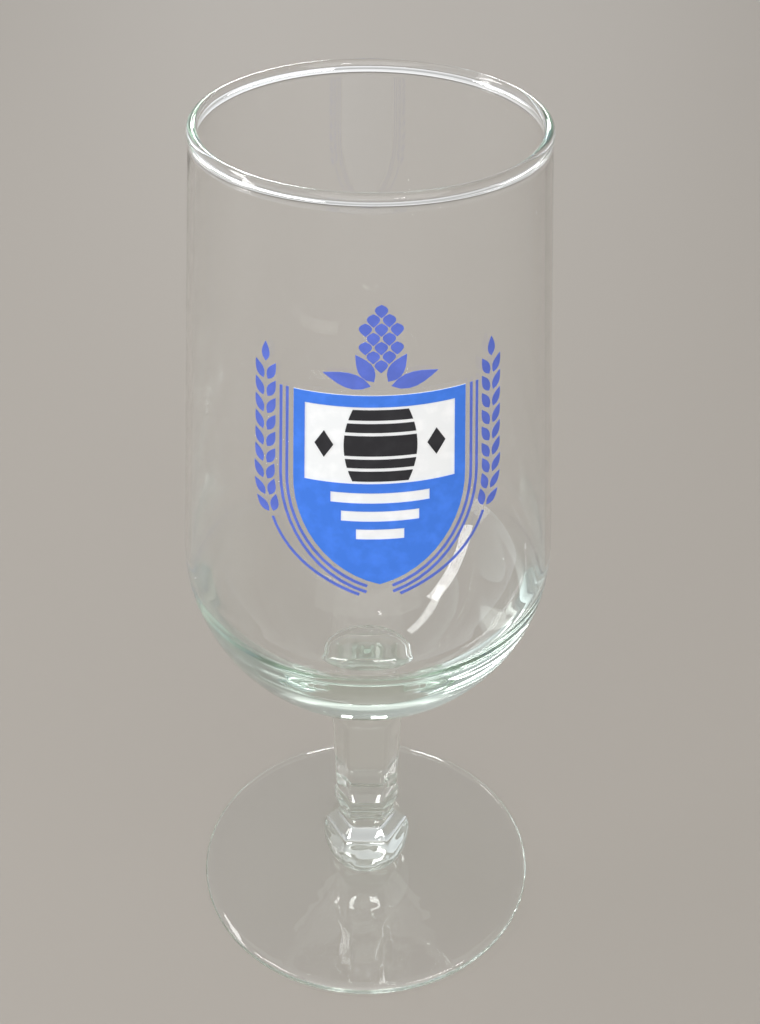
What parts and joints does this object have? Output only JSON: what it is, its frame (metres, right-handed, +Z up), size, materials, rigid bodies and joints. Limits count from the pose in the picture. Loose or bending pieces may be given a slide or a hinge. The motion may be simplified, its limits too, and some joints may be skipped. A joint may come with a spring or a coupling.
{
  "type": "footed beer glass",
  "caption": "Footed beer glass: a tapering clear bowl with a thick base, a faceted stem with a knop, a round foot and a printed badge on the front.",
  "frame": {"origin": "middle of the circle that the glass stands on, at the height of the table", "axes": "+Z up along the glass's own axis; the front of the glass, with the badge, faces -Y; +X to the right as seen from the front"},
  "size_m": [0.0702, 0.0702, 0.17],
  "materials": {
    "clear_glass": "clear, fire-polished",
    "white_enamel": "fired print, satin",
    "blue_enamel": "fired print, satin",
    "thin_blue_enamel": "fired print, slightly translucent",
    "black_enamel": "fired print, satin"
  },
  "bodies": {
    "root": {"bowl": "clear_glass", "stem": "clear_glass", "foot": "clear_glass", "print_white_ground": "white_enamel", "print_blue_field": "blue_enamel", "print_blue_linework": "thin_blue_enamel", "print_black_motif": "black_enamel"}
  },
  "joints": []
}
